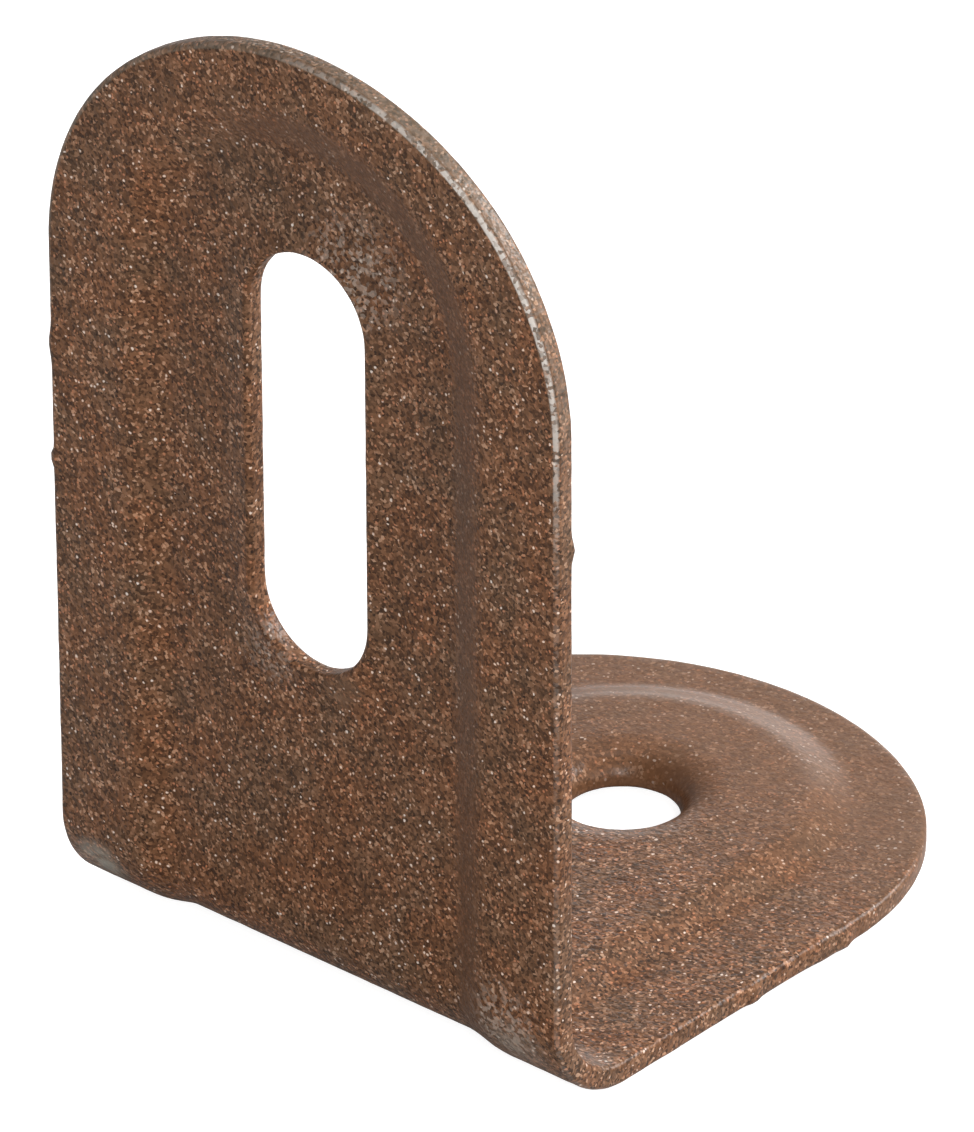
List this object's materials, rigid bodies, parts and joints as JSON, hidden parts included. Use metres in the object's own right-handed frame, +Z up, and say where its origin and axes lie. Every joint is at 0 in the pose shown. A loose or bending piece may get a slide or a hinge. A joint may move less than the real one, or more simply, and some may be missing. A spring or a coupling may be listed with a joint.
{
  "type": "angle bracket",
  "caption": "Folded sheet steel angle bracket with round ends, an embossed panel through the fold, an adjusting slot in the upright leg and a fixing hole in the flat leg.",
  "frame": {"origin": "under the middle of the bounding box, on the plane that the flat leg stands on", "axes": "+Z up along the upright leg, +Y from the heel towards the end of the flat leg, X across the strip"},
  "size_m": [0.04, 0.0466, 0.064],
  "materials": {
    "coat": "fine textured powder coat, brown with copper and dark flecks, satin"
  },
  "bodies": {
    "root": {"bracket": "coat"}
  },
  "joints": []
}
